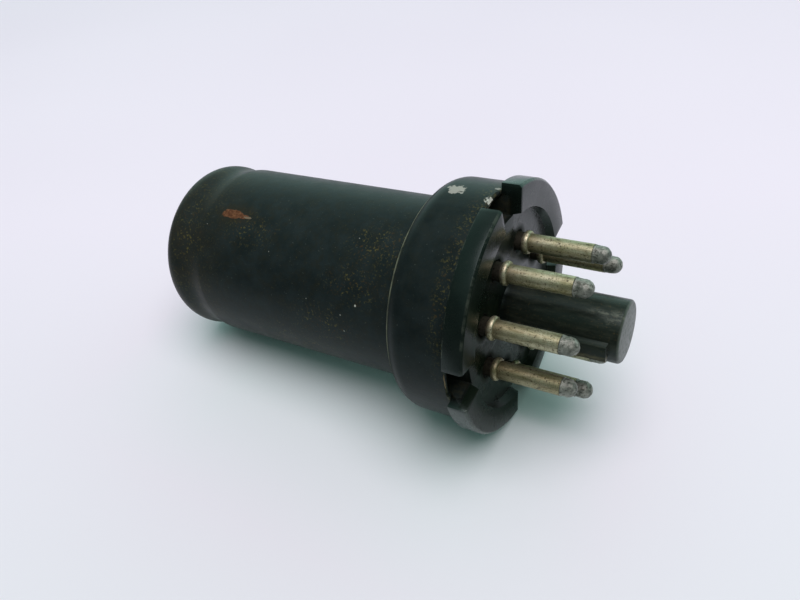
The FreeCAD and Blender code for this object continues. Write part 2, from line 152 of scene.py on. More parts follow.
class Graph:
    """Short helpers to build one material's node tree. Places are in mm."""

    def __init__(self, name):
        self.mat = bpy.data.materials.new(name)
        self.mat.use_nodes = True
        self.tree = self.mat.node_tree
        self.tree.nodes.clear()
        out = self.tree.nodes.new("ShaderNodeOutputMaterial")
        self.shader = self.tree.nodes.new("ShaderNodeBsdfPrincipled")
        self.link(self.shader.outputs["BSDF"], out.inputs["Surface"])
        coords = self.tree.nodes.new("ShaderNodeTexCoord")
        scale = self.tree.nodes.new("ShaderNodeVectorMath")
        scale.operation = "SCALE"
        scale.inputs["Scale"].default_value = 1.0 / M
        self.link(coords.outputs["Object"], scale.inputs[0])
        self.place = scale.outputs["Vector"]
        self.polar = None

    def link(self, a, b):
        self.tree.links.new(a, b)

    def feed(self, socket, value):
        if isinstance(value, (int, float, tuple)):
            socket.default_value = value
        else:
            self.link(value, socket)

    def noise(self, grain, detail=3.0, rough=0.55, stretch=None, seed=0.0):
        """Soft noise with features of about the given size in mm."""
        n = self.tree.nodes.new("ShaderNodeTexNoise")
        n.inputs["Scale"].default_value = 1.0 / grain
        n.inputs["Detail"].default_value = detail
        n.inputs["Roughness"].default_value = rough
        m = self.tree.nodes.new("ShaderNodeMapping")
        m.inputs["Location"].default_value = (seed * 7.1, seed * 3.7, seed * 5.3)
        if stretch:
            m.inputs["Scale"].default_value = stretch
        self.link(self.place, m.inputs["Vector"])
        self.link(m.outputs["Vector"], n.inputs["Vector"])
        return n.outputs["Fac"]

    def ramp(self, value, low, high, a=0.0, b=1.0):
        n = self.tree.nodes.new("ShaderNodeMapRange")
        n.clamp = True
        self.feed(n.inputs["Value"], value)
        n.inputs["From Min"].default_value = low
        n.inputs["From Max"].default_value = high
        n.inputs["To Min"].default_value = a
        n.inputs["To Max"].default_value = b
        return n.outputs["Result"]

    def math(self, op, a, b=0.0):
        n = self.tree.nodes.new("ShaderNodeMath")
        n.operation = op
        self.feed(n.inputs[0], a)
        self.feed(n.inputs[1], b)
        return n.outputs[0]

    def times(self, *values):
        out = values[0]
        for v in values[1:]:
            out = self.math("MULTIPLY", out, v)
        return out

    def mix(self, fac, a, b):
        n = self.tree.nodes.new("ShaderNodeMix")
        n.data_type = "RGBA"
        self.feed(n.inputs[0], fac)
        self.feed(n.inputs[6], a)
        self.feed(n.inputs[7], b)
        return n.outputs[2]

    def bump(self, height, strength, depth):
        """Depth is in mm."""
        n = self.tree.nodes.new("ShaderNodeBump")
        n.inputs["Strength"].default_value = strength
        n.inputs["Distance"].default_value = depth * M
        self.feed(n.inputs["Height"], height)
        self.link(n.outputs["Normal"], self.shader.inputs["Normal"])

    def ring_parts(self):
        n = self.tree.nodes.new("ShaderNodeSeparateXYZ")
        self.link(self.place, n.inputs[0])
        return tuple(n.outputs)

    def ring(self):
        """X, distance from the tube's axis, and angle about it from -90 to 270 degrees."""
        if self.polar is None:
            x, y, z = self.ring_parts()
            r = self.math("SQRT", self.math("ADD", self.times(y, y), self.times(z, z)))
            turn = self.math("ARCTAN2", self.math("MULTIPLY", y, -1.0), z)
            deg = self.math("ADD", self.math("MULTIPLY", turn, math.degrees(1.0)), 90.0)
            self.polar = (x, r, deg)
        return self.polar

    def band(self, value, centre, half, soft=0.4):
        """1 where the value is within half of the centre, fading out over the soft part."""
        off = self.math("ABSOLUTE", self.math("SUBTRACT", value, centre))
        return self.ramp(off, half, half * (1.0 - soft))

    def patch(self, x0, deg0, half_x, half_deg, ragged=0.3, grain=1.0, seed=0.0, soft=0.12):
        """1 inside an uneven blob on the tube's side, 0 outside."""
        x, _, deg = self.ring()
        u = self.math("DIVIDE", self.math("SUBTRACT", x, x0), half_x)
        v = self.math("DIVIDE", self.math("SUBTRACT", deg, deg0), half_deg)
        d = self.math("SQRT", self.math("ADD", self.times(u, u), self.times(v, v)))
        wobble = self.math("SUBTRACT", self.noise(grain, 4.0, 0.6, seed=seed), 0.5)
        d = self.math("ADD", d, self.math("MULTIPLY", wobble, ragged * 2.0))
        return self.ramp(d, 1.0, 1.0 - soft)

    def pin_distance(self):
        """Distance in the base's plane from the nearest pin's axis."""
        _, r, deg = self.ring()
        turns = self.math("DIVIDE", self.math("ADD", deg, 90.0), PIN_STEP_DEG)
        off = self.math("SUBTRACT", self.math("FRACT", turns), 0.5)
        cosine = self.math("COSINE", self.math("MULTIPLY", off, math.radians(PIN_STEP_DEG)))
        cross = self.times(r, cosine, 2.0 * PIN_CIRCLE_R)
        square = self.math("ADD", self.times(r, r), PIN_CIRCLE_R ** 2)
        return self.math("SQRT", self.math("SUBTRACT", square, cross))

    def set(self, name, value):
        self.feed(self.shader.inputs[name], value)


GREEN_TINT = (0.64, 0.95, 0.84, 1.0)
PLASTIC_TINT = (0.72, 1.0, 0.9, 1.0)
PAINT_SPECULAR = 0.11
OLIVE = srgb(90, 87, 48)
BROWN = srgb(64, 52, 32)
DUST = srgb(104, 112, 102)
BARE = srgb(206, 198, 188)


def paint_coat(g, dark, light, dirty, seed):
    """Old black paint: cloudy, with fine pale dust and a thin film of olive dirt."""
    cloud = g.noise(3.2, 5.0, 0.65, seed=seed)
    fine = g.noise(0.55, 4.0, 0.7, seed=seed + 3)
    col = g.mix(g.ramp(cloud, 0.38, 0.62), dark, light)
    film = g.ramp(g.noise(1.1, 6.0, 0.75, seed=seed + 5), 0.46, 0.62, 0.0, dirty)
    col = g.mix(film, col, srgb(35, 37, 30))
    col = g.mix(g.ramp(fine, 0.55, 0.8, 0.0, 0.35), col, srgb(36, 42, 36))
    dust = g.ramp(g.noise(0.24, 2.0, 0.6, seed=seed + 7), 0.7, 0.76, 0.0, 0.5)
    col = g.mix(dust, col, DUST)
    return col, cloud, fine


def specks(g, col, where, amount, seed):
    """Small olive and brown specks in the part of the surface that the mask says."""
    spots = g.ramp(g.noise(0.33, 3.0, 0.65, seed=seed), 0.72 - amount, 0.8 - amount)
    tone = g.mix(g.ramp(g.noise(1.4, 2.0, 0.5, seed=seed + 2), 0.45, 0.6), OLIVE, BROWN)
    return g.mix(g.times(spots, where, 0.9), col, tone)


# Middle and half size, in mm along the tube and degrees round it, of the dirtiest places
DIRT = [(-15.5, 121.0, 6.0, 20.0), (-22.5, 176.0, 7.0, 20.0), (-36.5, 126.0, 6.0, 16.0),
        (-17.2, 146.0, 6.0, 16.0), (-46.5, 140.0, 5.0, 40.0), (-28.0, 200.0, 9.0, 24.0)]

# Place, half length in mm and strength of the bright nicks
NICKS = [(-16.9, 157.0, 0.16, 1.0), (-19.2, 165.1, 0.11, 0.45), (-18.9, 175.7, 0.13, 0.45),
         (-31.5, 137.0, 0.08, 0.45), (-24.6, 160.0, 0.09, 0.45), (-18.4, 118.0, 0.08, 0.45),
         (-43.5, 128.0, 0.08, 0.45)]
NICK_STRETCH = 4.5


def shell_material():
    g = Graph("shell_paint")
    x, r, deg = g.ring()
    col, cloud, fine = paint_coat(g, srgb(26, 34, 34), srgb(34, 43, 43), 0.6, 1.0)
    # The rounded end is tanned brown. Specks are thickest there and in the dirtiest places.
    tan = g.ramp(g.noise(5.0, 4.0, 0.65, seed=4.0), 0.42, 0.62)
    end = g.ramp(x, -38.0, -46.0)
    col = g.mix(g.times(g.ramp(tan, 0.0, 1.0, 0.35, 1.0), end, 0.75), col, srgb(47, 46, 38))
    thick = g.times(end, 0.45)
    for i, (cx, cd, half_x, half_deg) in enumerate(DIRT):
        spot = g.patch(cx, cd, half_x, half_deg, 0.5, 1.8, 18.0 + i, 0.9)
        thick = g.math("MAXIMUM", thick, spot)
    col = specks(g, col, thick, 0.16, 5.0)
    col = specks(g, col, 0.8, 0.04, 9.0)
    # Rust patch with a pale tip
    rust = g.patch(-39.7, 118.0, 2.0, 3.2, 0.55, 1.1, 12.0)
    rust = g.math("MAXIMUM", rust, g.patch(-37.9, 118.6, 1.5, 1.5, 0.5, 0.8, 13.0))
    grit = g.ramp(g.noise(0.5, 4.0, 0.7, seed=14.0), 0.35, 0.65)
    rust_col = g.mix(grit, srgb(78, 48, 31), srgb(122, 86, 58))
    halo = g.patch(-39.0, 118.0, 4.6, 9.0, 0.6, 1.6, 11.0, 0.6)
    col = g.mix(g.times(halo, 0.5), col, srgb(46, 40, 25))
    col = g.mix(g.times(rust, 0.9), col, rust_col)
    tip = g.patch(-36.9, 118.8, 0.75, 0.8, 0.5, 0.5, 15.0)
    col = g.mix(g.times(tip, 0.7), col, srgb(120, 112, 92))
    for i, (nx, nd, size, bright) in enumerate(NICKS):
        nick = g.patch(nx, nd, size, size * NICK_STRETCH, 0.4, 0.25, 30.0 + i)
        col = g.mix(g.times(nick, bright), col, srgb(176, 182, 168))
    g.set("Base Color", col)
    g.set("Metallic", 0.0)
    rough = g.ramp(cloud, 0.3, 0.7, 0.34, 0.46)
    rough = g.math("MAXIMUM", rough, g.times(rust, 0.85))
    g.set("Roughness", rough)
    g.set("Specular IOR Level", PAINT_SPECULAR)
    g.set("Specular Tint", GREEN_TINT)
    height = g.math("ADD", g.times(fine, 0.3), g.noise(1.6, 3.0, 0.5, seed=6.0))
    g.bump(g.math("ADD", height, g.times(rust, grit, 1.2)), 0.5, 0.045)
    return g.mat


CHIP_X = -7.75
CHIP_DEG = 85.6


def skirt_material():
    g = Graph("skirt_paint")
    x, r, deg = g.ring()
    col, cloud, fine = paint_coat(g, srgb(22, 29, 29), srgb(30, 38, 38), 0.35, 41.0)
    top = g.ramp(x, -10.0, -11.6)
    rim = g.times(g.ramp(x, -5.3, -4.0), g.ramp(deg, 168.0, 150.0, 0.3, 1.0))
    col = specks(g, col, g.times(g.math("MAXIMUM", top, rim), 0.65), 0.18, 43.0)
    col = specks(g, col, 0.7, 0.02, 47.0)
    # The lip is worn to a thin pale line beside the envelope.
    lip = g.times(g.ramp(x, SKIRT_TOP_X + 1.15, SKIRT_TOP_X + 0.85), g.ramp(r, 14.4, 14.65))
    broken = g.ramp(g.noise(2.2, 3.0, 0.6, seed=51.0), 0.38, 0.58, 0.25, 1.0)
    col = g.mix(g.times(lip, broken, 0.95), col, srgb(136, 138, 114))
    rim_edge = g.times(g.ramp(x, -2.95, -2.75), g.ramp(r, 15.4, 15.6))
    rubbed = g.ramp(g.noise(0.8, 4.0, 0.7, seed=53.0), 0.44, 0.6)
    col = g.mix(g.times(rim_edge, rubbed, 0.7), col, srgb(92, 94, 70))
    # Ragged chip down to bare metal, with a dull edge
    chip = g.patch(CHIP_X, CHIP_DEG, 1.05, 3.9, 1.6, 0.75, 58.0, 0.08)
    chip_edge = g.patch(CHIP_X, CHIP_DEG, 1.2, 4.4, 1.6, 0.75, 58.0, 0.1)
    col = g.mix(g.times(chip_edge, 0.8), col, srgb(84, 88, 80))
    col = g.mix(chip, col, srgb(174, 163, 156))
    # Bent locks and the rim beside them: paint broken off the edges
    torn = g.ramp(g.noise(0.6, 4.0, 0.7, seed=61.0), 0.44, 0.52)
    bare = g.math("MAXIMUM", g.patch(-2.9, 90.3, 0.6, 2.4, 0.5, 0.6, 62.0),
                  g.times(0.5, g.patch(-3.1, 79.5, 0.4, 1.2, 0.5, 0.8, 63.0)))
    scrape = g.patch(-2.83, 178.5, 0.05, 4.6, 0.4, 0.8, 64.0)
    scrape = g.times(0.7, scrape, g.ramp(r, 15.45, 15.6))
    bare = g.times(bare, torn)
    bare = g.math("MAXIMUM", bare, g.patch(-2.9, 0.0, 0.5, 4.0, 0.7, 0.8, 65.0))
    col = g.mix(bare, col, BARE)
    col = g.mix(scrape, col, srgb(150, 132, 100))
    # Grime and rust down in the notches, darkened further by painted shade
    notch_grime_shade = g.times(g.ramp(r, 15.3, 14.3), g.ramp(x, -5.0, -4.0))
    rusty = g.ramp(g.noise(0.7, 4.0, 0.7, seed=67.0), 0.4, 0.6)
    murk_and_shade = g.mix(rusty, srgb(9, 10, 6), srgb(40, 35, 18))
    col = g.mix(g.times(notch_grime_shade, g.math("SUBTRACT", 1.0, bare), 0.9), col, murk_and_shade)
    metal = g.math("MAXIMUM", chip, bare)
    g.set("Base Color", col)
    g.set("Metallic", g.times(metal, 0.6))
    rough = g.math("MAXIMUM", g.ramp(cloud, 0.3, 0.7, 0.29, 0.41), g.times(metal, 0.5))
    g.set("Roughness", g.math("MAXIMUM", rough, g.ramp(x, -9.0, -10.6, 0.0, 0.68)))
    g.set("Specular IOR Level", PAINT_SPECULAR)
    g.set("Specular Tint", GREEN_TINT)
    # Fine scratches round the underside
    scratch = g.noise(0.35, 3.0, 0.6, stretch=(0.35, 1.0, 1.0), seed=71.0)
    low = g.ramp(deg, 176.0, 190.0)
    height = g.math("ADD", g.times(fine, 0.35), g.noise(1.6, 3.0, 0.5, seed=46.0))
    height = g.math("ADD", height, g.times(scratch, low, 0.9))
    height = g.math("SUBTRACT", height, g.times(metal, 1.2))
    g.bump(height, 0.4, 0.035)
    return g.mat


def plastic_material():
    g = Graph("moulded_base")
    x, r, deg = g.ring()
    cloud = g.noise(4.0, 4.0, 0.6, seed=2.0)
    fine = g.noise(0.5, 4.0, 0.7, seed=3.0)
    col = g.mix(g.ramp(cloud, 0.35, 0.65), srgb(9, 14, 12), srgb(16, 22, 19))
    col = g.mix(g.ramp(fine, 0.56, 0.8, 0.0, 0.3), col, srgb(40, 44, 34))
    # Brown grime on the floor, thickest round the pins' roots and in the corner of the wall
    on_floor = g.times(g.ramp(r, 13.0, 12.4), g.ramp(x, 0.2, -0.3))
    near_pin = g.ramp(g.pin_distance(), 2.9, 1.5)
    dirt = g.ramp(g.noise(1.6, 5.0, 0.7, seed=5.0), 0.42, 0.62)
    level = g.math("MAXIMUM", near_pin, g.times(dirt, 0.55))
    brown = g.ramp(g.noise(0.8, 3.0, 0.6, seed=6.0), 0.4, 0.6)
    tone = g.mix(brown, srgb(12, 11, 7), srgb(38, 37, 25))
    col = g.mix(g.times(level, on_floor, 0.85), col, tone)
    # Corners of the lugs rubbed pale
    rubbed = g.ramp(g.noise(1.2, 4.0, 0.65, seed=7.0), 0.45, 0.62)
    back = g.times(g.band(x, -2.52, 0.1, 0.5), g.ramp(r, 16.1, 16.4))
    front = g.times(g.band(x, -0.2, 0.18, 0.5), g.ramp(r, 16.2, 16.4))
    col = g.mix(g.times(g.math("MAXIMUM", back, front), rubbed, 0.3), col, srgb(96, 104, 90))
    # Notches hold olive dust and rust, and are darkened by painted shade.
    notch = g.times(g.ramp(x, -1.2, -1.7), g.ramp(r, 15.4, 14.8))
    rusty = g.ramp(g.noise(0.7, 4.0, 0.7, seed=8.0), 0.42, 0.62)
    murk_and_shade = g.mix(rusty, srgb(7, 8, 5), srgb(36, 32, 16))
    col = g.mix(g.times(notch, 0.85), col, murk_and_shade)
    # Plug: scuffed along its side
    plug = g.times(g.ramp(r, 5.2, 4.9), g.ramp(x, -0.8, 0.4))
    streak = g.ramp(g.noise(0.5, 5.0, 0.7, stretch=(0.22, 1.0, 1.0), seed=9.0), 0.46, 0.66)
    col = g.mix(g.times(plug, g.ramp(streak, 0.0, 1.0, 0.2, 0.6)), col, srgb(50, 54, 42))
    flecks = g.ramp(g.noise(0.3, 3.0, 0.65, seed=19.0), 0.6, 0.68)
    col = g.mix(g.times(plug, flecks, 0.5), col, srgb(70, 62, 38))
    # Dry flux and brown dirt on the lower edge and the end of the key
    on_key = g.times(g.ramp(r, 4.15, 4.4), g.ramp(r, 5.2, 5.0), g.ramp(x, 5.5, 8.5))
    key_low = g.ramp(deg, 184.0, 188.0)
    grit = g.ramp(g.noise(0.5, 4.0, 0.7, stretch=(0.3, 1.0, 1.0), seed=16.0), 0.36, 0.6)
    crust = g.times(on_key, key_low)
    col = g.mix(g.times(crust, 0.85), col, g.mix(grit, srgb(40, 34, 18), srgb(112, 106, 72)))
    # The plug's end face is painted lighter: a painted highlight.
    end_face_highlight = g.ramp(x, PLUG_END_X - 0.3, PLUG_END_X - 0.1)
    end_face_highlight = g.times(end_face_highlight, g.ramp(fine, 0.3, 0.7, 0.6, 1.0))
    col = g.mix(g.times(end_face_highlight, 0.6), col, srgb(96, 106, 94))
    # Rubbed line and painted highlight along the top of the plug, and a worn place at its end
    scuff_and_highlight = g.times(g.band(deg, 114.0, 7.0, 0.8), g.ramp(x, 8.5, 11.0), g.ramp(r, 4.3, 4.1))
    scuff_and_highlight = g.math("MAXIMUM", scuff_and_highlight, g.patch(12.4, 120.0, 1.0, 16.0, 0.8, 0.7, 17.0, 0.5))
    broken = g.ramp(g.noise(0.35, 4.0, 0.7, stretch=(0.4, 1.0, 1.0), seed=18.0), 0.42, 0.6)
    scuff_and_highlight = g.times(scuff_and_highlight, broken, plug)
    col = g.mix(g.times(scuff_and_highlight, 0.55), col, srgb(108, 114, 98))
    # The lower half of the front is painted a darker green as painted shade, and its specular is
    # lowered.
    front = g.times(g.ramp(x, -1.3, -1.1), g.ramp(r, 16.55, 16.3), g.ramp(r, 4.4, 5.0))
    shaded_low_side = g.math("MAXIMUM", g.ramp(deg, 95.0, 150.0, 0.25, 1.0), g.ramp(deg, -10.0, -50.0))
    front = g.times(front, shaded_low_side)
    col = g.mix(g.times(front, 0.45), col, srgb(19, 31, 17))
    g.set("Base Color", col)
    rough = g.ramp(cloud, 0.3, 0.7, 0.22, 0.34)
    rough = g.math("MAXIMUM", rough, g.times(level, on_floor, 0.7))
    rough = g.math("MAXIMUM", rough, g.times(notch, 0.7))
    rough = g.math("MAXIMUM", rough, g.times(plug, g.ramp(streak, 0.0, 1.0, 0.32, 0.5)))
    g.set("Roughness", rough)
    side = g.math("MAXIMUM", g.ramp(deg, 94.0, 84.0), g.ramp(deg, 182.0, 192.0))
    lug_side = g.times(side, g.ramp(r, 16.1, 16.3), 0.6)
    gloss = g.math("MAXIMUM", g.ramp(r, 4.4, 5.0, 0.27, 0.34), lug_side)
    film = g.math("SUBTRACT", g.ramp(r, 12.6, 13.2, 0.24, 0.3), g.ramp(r, 14.0, 16.2, 0.0, 0.1))
    g.set("Specular IOR Level", 0.3)
    g.set("Specular IOR Level", g.math("SUBTRACT", gloss, g.times(front, film)))
    g.set("Specular Tint", PLASTIC_TINT)
    height = g.math("ADD", g.times(fine, 0.5), g.times(cloud, 0.5))
    height = g.math("ADD", height, g.times(level, on_floor, dirt, 1.2))
    height = g.math("ADD", height, g.times(plug, streak, 0.9))
    height = g.math("ADD", height, g.times(crust, grit, 1.6))
    g.bump(height, 0.3, 0.03)
    return g.mat


def pin_material():
    g = Graph("tarnished_pin")
    x, r, deg = g.ring()
    cloud = g.noise(2.0, 4.0, 0.65, seed=1.0, stretch=(0.45, 1.0, 1.0))
    fine = g.noise(0.35, 4.0, 0.7, seed=2.0)
    col = g.mix(g.ramp(cloud, 0.35, 0.65), srgb(160, 158, 122), srgb(204, 202, 172))
    col = g.mix(g.ramp(fine, 0.5, 0.75, 0.0, 0.5), col, srgb(104, 98, 62))
    # Brown stains here and there, and painted shade darkening the pins low on the base.
    stain = g.ramp(g.noise(1.1, 4.0, 0.7, seed=3.0), 0.56, 0.68)
    under = g.ramp(deg, 150.0, 185.0, 0.0, 0.45)
    col = g.mix(g.math("MAXIMUM", g.times(stain, 0.4), under), col, srgb(110, 98, 60))
    # Grime and painted shade just in front of the collar, and brown streaks along the pins.
    collar_grime_shade = g.times(g.ramp(x, 0.5, 0.64), g.ramp(x, 2.2, 0.7, 0.0, 0.65))
    streak = g.noise(0.4, 4.0, 0.7, stretch=(0.18, 1.0, 1.0), seed=21.0)
    streak = g.ramp(streak, 0.5, 0.64, 0.0, 0.5)
    col = g.mix(g.math("MAXIMUM", collar_grime_shade, streak), col, srgb(98, 90, 54))
    spots = g.ramp(g.noise(0.3, 2.5, 0.65, seed=4.0), 0.6, 0.65)
    grains = g.ramp(g.noise(0.16, 2.0, 0.6, seed=12.0), 0.56, 0.66, 0.0, 0.7)
    spots = g.math("MAXIMUM", spots, grains)
    col = g.mix(g.times(spots, 0.85), col, srgb(44, 40, 22))
    # Below its collar the pin is painted nearly black, darkest towards the floor.
    foot = g.ramp(x, -0.1, -0.35)
    col = g.mix(g.times(foot, 0.95), col, srgb(13, 12, 8))
    g.set("Base Color", col)
    g.set("Metallic", g.ramp(g.math("MAXIMUM", spots, foot), 0.0, 1.0, 0.85, 0.1))
    g.set("Roughness", g.math("MAXIMUM", g.ramp(fine, 0.3, 0.7, 0.34, 0.54), g.times(foot, 0.8)))
    g.set("Specular IOR Level", 0.15)
    drawn = g.noise(0.25, 3.0, 0.6, stretch=(0.12, 1.0, 1.0), seed=5.0)
    height = g.math("ADD", g.times(drawn, 0.6), g.times(fine, 0.6))
    g.bump(g.math("SUBTRACT", height, g.times(spots, 0.8)), 0.5, 0.03)
    return g.mat


def solder_material():
    g = Graph("old_solder")
    cloud = g.noise(0.9, 4.0, 0.65, seed=6.0)
    cell = g.noise(0.36, 5.0, 0.75, seed=7.0)
    col = g.mix(g.ramp(cloud, 0.36, 0.62), srgb(92, 98, 88), srgb(156, 160, 148))
    col = g.mix(g.ramp(cell, 0.52, 0.6, 0.0, 0.85), col, srgb(60, 64, 52))
    g.set("Base Color", col)
    g.set("Metallic", 0.6)
    g.set("Roughness", g.ramp(cloud, 0.3, 0.7, 0.35, 0.55))
    g.bump(g.math("ADD", cell, g.times(cloud, 0.5)), 0.9, 0.09)
    return g.mat


def plain_metal(name, color, rough, metallic=1.0):
    g = Graph(name)
    cloud = g.noise(2.5, 4.0, 0.6, seed=8.0)
    dim = tuple(c * 0.7 for c in color[:3]) + (1.0,)
    g.set("Base Color", g.mix(g.ramp(cloud, 0.3, 0.7), dim, color))
    g.set("Metallic", metallic)
    g.set("Roughness", g.ramp(cloud, 0.3, 0.7, rough * 0.8, rough * 1.2))
    g.bump(g.noise(0.4, 3.0, 0.6, seed=9.0), 0.2, 0.02)
    return g.mat


SHEET_SHADE_GREY = srgb(104, 108, 108)
SHEET_DIM = srgb(238, 232, 241)
SHEET_BRIGHT = srgb(242, 237, 245)
SHEET_NEAR_SHADE = srgb(230, 232, 235)
SHEET_SHADOW_GREEN = srgb(224, 239, 236)

# Directions on the sheet, as parts of X and Y, towards its two dim sides
DIM_FRONT = (0.457, -0.889)
DIM_LEFT = (-0.596, -0.803)


def sheet_material():
    g = Graph("floor_paper")
    cloud = g.noise(160.0, 2.0, 0.5, seed=3.0)
    col = g.mix(g.ramp(cloud, 0.3, 0.7), SHEET_DIM, SHEET_BRIGHT)
    # The sheet is painted greyer towards the two sides where the room is dim: painted shade.
    x, y, _ = g.ring_parts()
    front = g.math("ADD", g.times(x, DIM_FRONT[0]), g.times(y, DIM_FRONT[1]))
    left = g.math("ADD", g.times(x, DIM_LEFT[0]), g.times(y, DIM_LEFT[1]))
    col = g.mix(g.ramp(front, -50.0, 30.0), col, SHEET_NEAR_SHADE)
    # It is painted a little greener round the tube, as painted shadow colour.
    beside = g.times(g.ramp(y, -34.0, -14.0), g.ramp(y, 34.0, 14.0))
    beside = g.times(beside, g.ramp(x, -62.0, -40.0), g.ramp(x, 16.0, -4.0))
    col = g.mix(beside, col, SHEET_SHADOW_GREEN)
    grey = g.math("MAXIMUM", g.ramp(front, 32.0, 58.0), g.ramp(left, 74.0, 100.0))
    g.set("Base Color", g.mix(grey, col, SHEET_SHADE_GREY))
    g.set("Roughness", 0.7)
    g.set("Specular IOR Level", 0.2)
    return g.mat


# ---------------------------------------------------------------- mesh helpers

def place(name, bm, mat, node, smooth_deg=40.0):
    """Makes a visible piece that stands in for one CAD node."""
    bmesh.ops.recalc_face_normals(bm, faces=bm.faces)
    mesh = bpy.data.meshes.new(name)
    bm.to_mesh(mesh)
    bm.free()
    mesh.materials.append(mat)
    obj = bpy.data.objects.new(name, mesh)
    bpy.context.scene.collection.objects.link(obj)
    finish_shading(obj, smooth_deg)
    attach(obj, "root")
    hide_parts(node)
    return obj


def finish_shading(obj, smooth_deg):
    for poly in obj.data.polygons:
        poly.use_smooth = True
    obj.data.set_sharp_from_angle(angle=math.radians(smooth_deg))


def turn(bm, profile, steps, y=0.0, z=0.0, closed=True):
    """Turns an (x, r) profile about the line along X through (y, z)."""
    rings = []
    for x, r in profile:
        if r <= 1e-6:
            rings.append([bm.verts.new(Vector((x, y, z)) * M)])
            continue
        ring = []
        for i in range(steps):
            a = 2 * math.pi * i / steps
            ring.append(bm.verts.new(Vector((x, y + r * math.cos(a), z + r * math.sin(a))) * M))
        rings.append(ring)
    pairs = list(zip(rings, rings[1:]))
    if closed:
        pairs.append((rings[-1], rings[0]))
    for a, b in pairs:
        if len(a) == 1 and len(b) == 1:
            continue
        for i in range(steps):
            j = (i + 1) % steps
            if len(a) == 1:
                bm.faces.new((a[0], b[i], b[j]))
            elif len(b) == 1:
                bm.faces.new((a[i], b[0], a[j]))
            else:
                bm.faces.new((a[i], b[i], b[j], a[j]))


def arc(cx, cr, radius, deg0, deg1, steps):
    """Points of a profile on part of a circle about (cx, cr)."""
    out = []
    for i in range(steps + 1):
        a = math.radians(deg0 + (deg1 - deg0) * i / steps)
        out.append((cx + radius * math.cos(a), cr + radius * math.sin(a)))
    return out


def line(a, b, steps):
    """Evenly spaced points of a profile from a to b."""
    return [(a[0] + (b[0] - a[0]) * i / steps, a[1] + (b[1] - a[1]) * i / steps)
            for i in range(steps + 1)]


class Sectors:
    """Builds a turned shape whose profile changes from sector to sector. Profiles share
    their corners through a table, so that the mesh is closed where they meet."""

    def __init__(self):
        self.bm = bmesh.new()
        self.table = {}

    def vert(self, x, r, deg):
        key = (round(x, 4), round(r, 4), round(deg % 360.0, 3) if r > 1e-6 else 0.0)
        if key not in self.table:
            self.table[key] = self.bm.verts.new(at(x, r, deg))
        return self.table[key]

    def face(self, verts):
        loop = []
        for v in verts:
            if v not in loop:
                loop.append(v)
        if len(loop) > 2:
            self.bm.faces.new(loop)

    def strip(self, first, second, deg_a, deg_b):
        """Joins one profile at deg_a to another with as many points at deg_b."""
        for i in range(len(first) - 1):
            (x0, r0), (x1, r1) = first[i], first[i + 1]
            (x2, r2), (x3, r3) = second[i], second[i + 1]
            self.face([self.vert(x0, r0, deg_a), self.vert(x1, r1, deg_a),
                       self.vert(x3, r3, deg_b), self.vert(x2, r2, deg_b)])

    def wall(self, outline, deg):
        self.face([self.vert(x, r, deg) for x, r in outline])


# ---------------------------------------------------------------- envelope

def shell_side(offset):
    """Profile from the foot to the middle of the crown, moved inwards by the offset."""
    r = SHELL_R - offset
    groove_from = GROOVE_X + GROOVE_HALF
    corner = CORNER_R - offset
    crown_x = APEX_X + offset + CROWN_H
    rim_r = r - corner
    pts = line((SHELL_FOOT_X, r), (groove_from, r), 40)
    for i in range(1, GROOVE_STEPS):
        t = i / GROOVE_STEPS
        dip = GROOVE_DEPTH * math.sin(math.pi * t) ** GROOVE_POWER
        pts.append((groove_from - 2 * GROOVE_HALF * t, r - dip))
    pts.append((groove_from - 2 * GROOVE_HALF, r))
    pts += arc(crown_x + corner, rim_r, corner, 90.0, 180.0, 16)
    for i in range(1, CROWN_STEPS + 1):
        q = rim_r * (1 - i / CROWN_STEPS)
        pts.append((crown_x - CROWN_H * (1 - (q / rim_r) ** 2), q))
    return pts


def build_shell(mat):
    bm = bmesh.new()
    outer = shell_side(0.0)
    inner = shell_side(SHELL_WALL)
    inner[0] = (FLANGE_FRONT_X, SHELL_R - SHELL_WALL)
    flange = [(SHELL_FOOT_X, FLANGE_R), (FLANGE_FRONT_X, FLANGE_R)]
    turn(bm, outer[::-1] + flange + inner, SHELL_STEPS, closed=False)
    place("envelope_shell", bm, mat, "metal_envelope")


# ---------------------------------------------------------------- skirt

